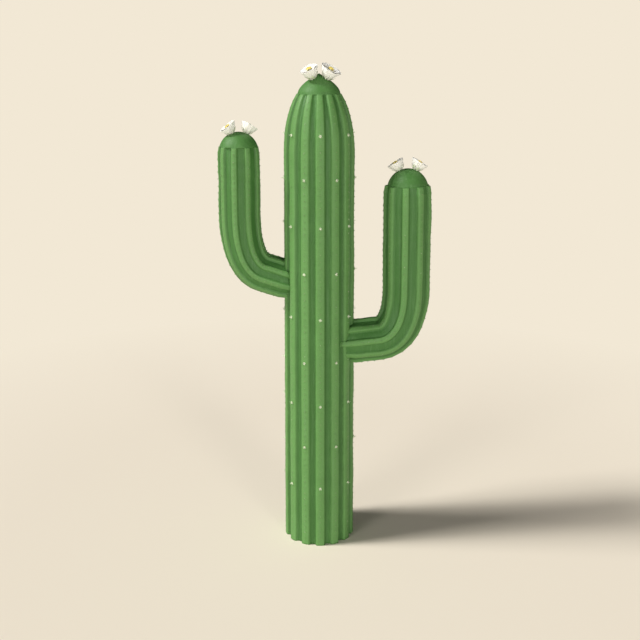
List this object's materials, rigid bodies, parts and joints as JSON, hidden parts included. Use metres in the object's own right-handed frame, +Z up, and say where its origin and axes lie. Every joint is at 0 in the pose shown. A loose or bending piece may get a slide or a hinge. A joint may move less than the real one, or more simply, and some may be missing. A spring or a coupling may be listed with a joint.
{
  "type": "saguaro cactus",
  "caption": "Tall ribbed columnar cactus with a rounded tip, upturned arms at different heights and open white blooms on every tip.",
  "frame": {"origin": "centre of the flat cut under the trunk, at ground level", "axes": "+Z up along the trunk, -Y towards the front of the plant, -X towards its higher, thinner arm"},
  "size_m": [1.5742, 0.5548, 3.6847],
  "materials": {
    "stem": "waxy green skin",
    "bloom": "soft white petals"
  },
  "bodies": {
    "root": {"trunk": "stem", "arm_left_elbow": "stem", "arm_left_upright": "stem", "arm_right_elbow": "stem", "arm_right_upright": "stem", "bloom_trunk_left": "bloom", "bloom_trunk_right": "bloom", "bloom_arm_left_outer": "bloom", "bloom_arm_left_inner": "bloom", "bloom_arm_right_inner": "bloom", "bloom_arm_right_outer": "bloom"}
  },
  "joints": []
}
